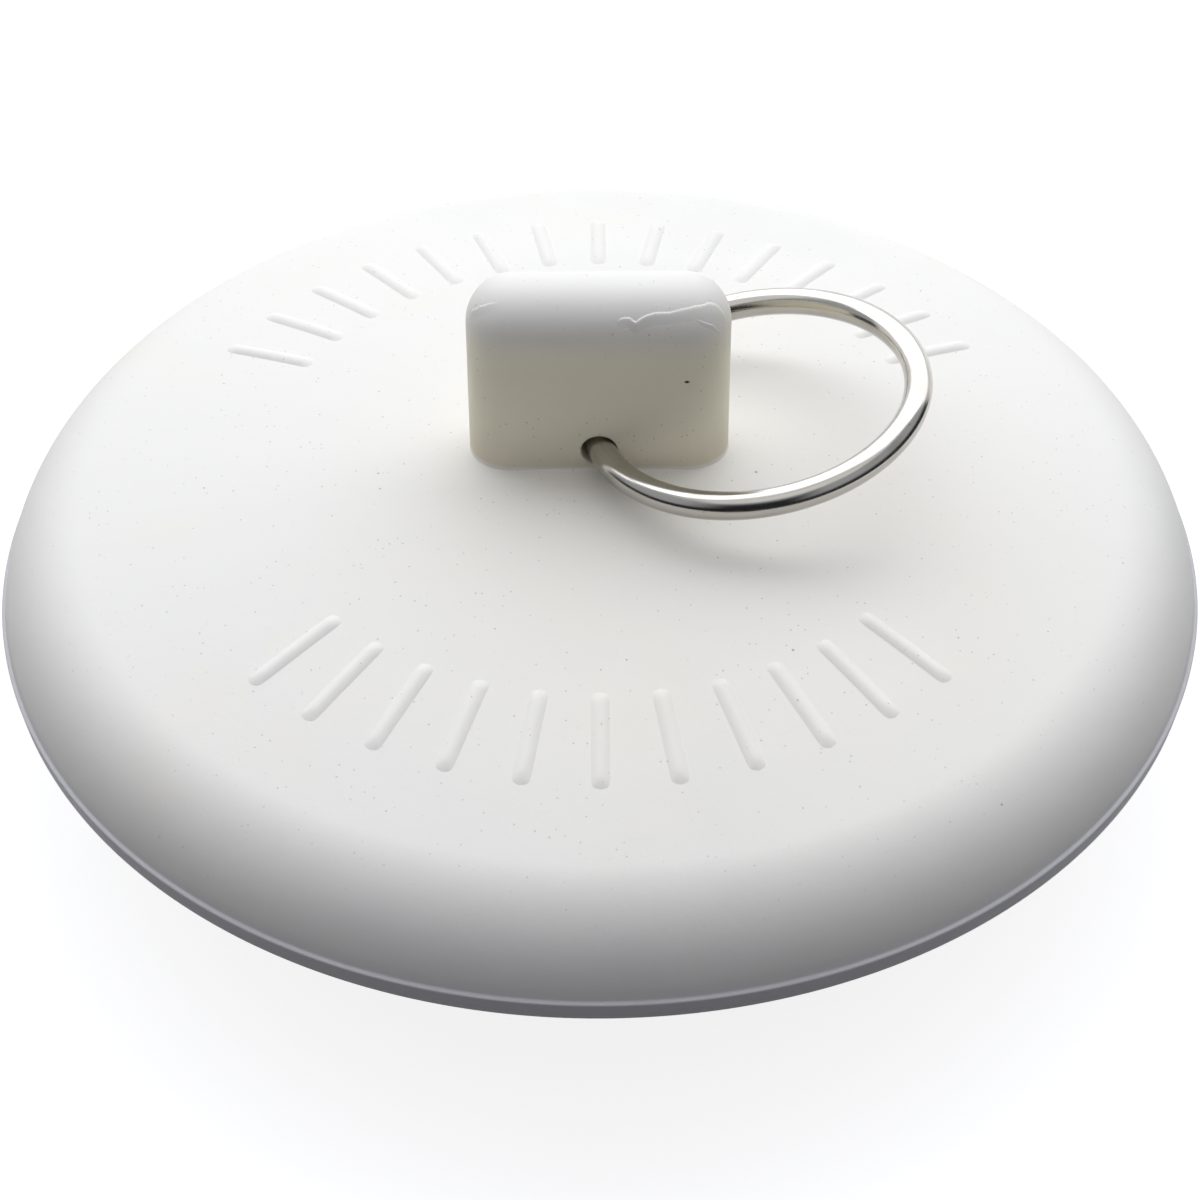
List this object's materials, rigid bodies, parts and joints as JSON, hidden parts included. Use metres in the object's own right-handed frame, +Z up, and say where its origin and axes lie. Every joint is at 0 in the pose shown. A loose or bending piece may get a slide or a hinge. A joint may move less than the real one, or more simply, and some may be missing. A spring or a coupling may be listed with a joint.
{
  "type": "drain stopper",
  "caption": "Domed rubber drain stopper with a stepped hollow plug underneath, an upright pull tab and a wire pull ring that swings through the tab.",
  "frame": {"origin": "on the plug's axis, at the flat foot of the plug", "axes": "+Z up along the plug's axis, out of the drain; +X along the tab's width, towards the side that the ring lies on; the tab's hole runs along Y"},
  "size_m": [0.0888, 0.0888, 0.0397],
  "materials": {
    "white_rubber": "matte off-white moulded rubber",
    "nickel_wire": "bright nickel-plated steel wire"
  },
  "bodies": {
    "stopper": {"stopper_body": "white_rubber"},
    "ring": {"pull_ring": "nickel_wire"}
  },
  "joints": [
    {"name": "ring_swing", "type": "hinge", "parent": "stopper", "child": "ring", "pos_m": [0, 0, 0.02719], "axis": [0, -1, 0], "range_deg": [-14.5, 173.5]}
  ]
}
